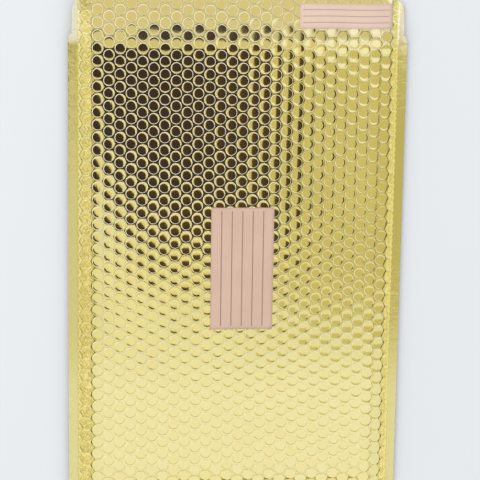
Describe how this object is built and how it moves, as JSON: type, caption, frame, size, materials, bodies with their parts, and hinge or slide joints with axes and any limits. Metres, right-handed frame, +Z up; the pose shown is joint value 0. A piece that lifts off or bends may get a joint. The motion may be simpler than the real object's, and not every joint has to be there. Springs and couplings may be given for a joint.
{
  "type": "padded envelope",
  "caption": "Metallised bubble mailer with welded sides, an open flap with a covered glue strip, and ruled address and sender labels.",
  "frame": {"origin": "middle of the footprint, at the height of the surface that the envelope lies on", "axes": "+X across the width, to the sender label's side; +Y along the length, from the fold to the flap; +Z up out of the address side"},
  "size_m": [0.32, 0.483, 0.0162],
  "materials": {
    "gold_film": "metallised gold film, bright and slightly wrinkled",
    "label_paper": "matt coated paper with thin ruled lines",
    "clear_glue": "clear tacky glue film",
    "liner_film": "white release-coated film"
  },
  "bodies": {
    "root": {"front_panel": "gold_film", "back_panel": "gold_film", "address_label": "label_paper", "sender_label": "label_paper", "adhesive_strip": "clear_glue", "release_liner": "liner_film"}
  },
  "joints": []
}
